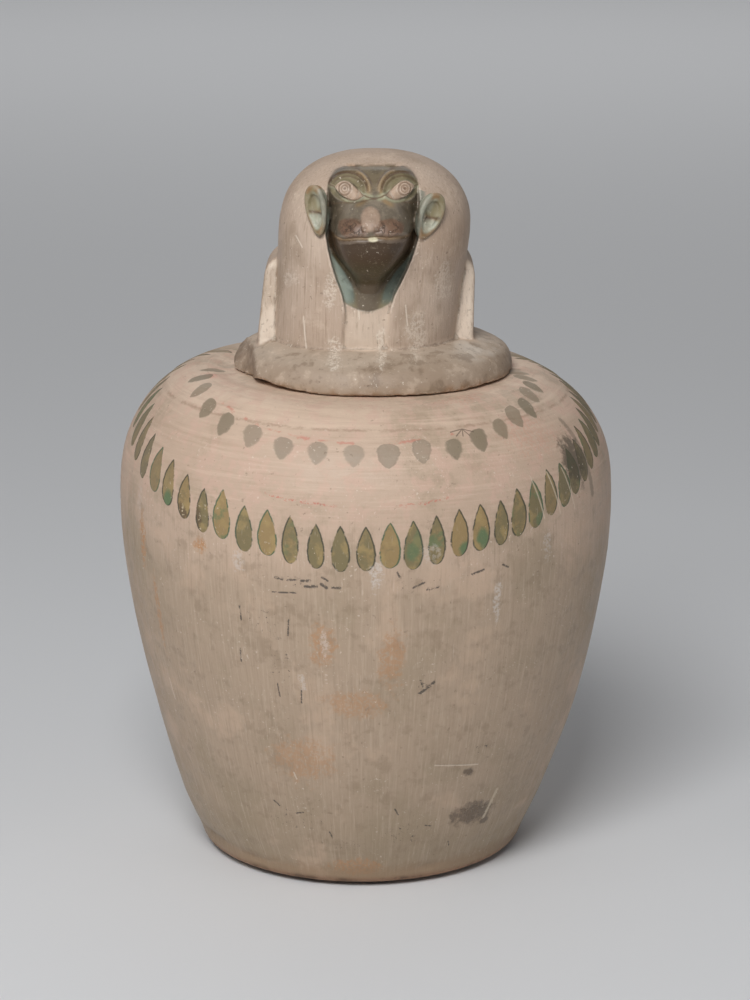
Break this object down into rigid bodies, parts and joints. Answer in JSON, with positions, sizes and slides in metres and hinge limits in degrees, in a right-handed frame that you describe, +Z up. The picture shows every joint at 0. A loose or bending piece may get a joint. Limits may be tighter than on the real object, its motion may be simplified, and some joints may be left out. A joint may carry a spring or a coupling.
{
  "type": "canopic jar",
  "caption": "Hollow pottery jar with a broad shoulder and painted drop collar, closed by a lift-off lid modelled as a baboon's head in a wig.",
  "frame": {"origin": "centre of the jar's underside, on the surface it stands on", "axes": "+Z up through the jar, the face on the lid looks towards -Y, +X to the viewer's right"},
  "size_m": [0.292, 0.292, 0.42],
  "materials": {
    "painted_pottery": "burnished pinkish slip, matt and worn, with painted drops and traces of paint",
    "lid_pottery": "brushed slip on the wig, dark burnished paint on the face with blue-green in the hollows"
  },
  "bodies": {
    "root": {"jar": "painted_pottery", "lid": "lid_pottery"}
  },
  "joints": []
}
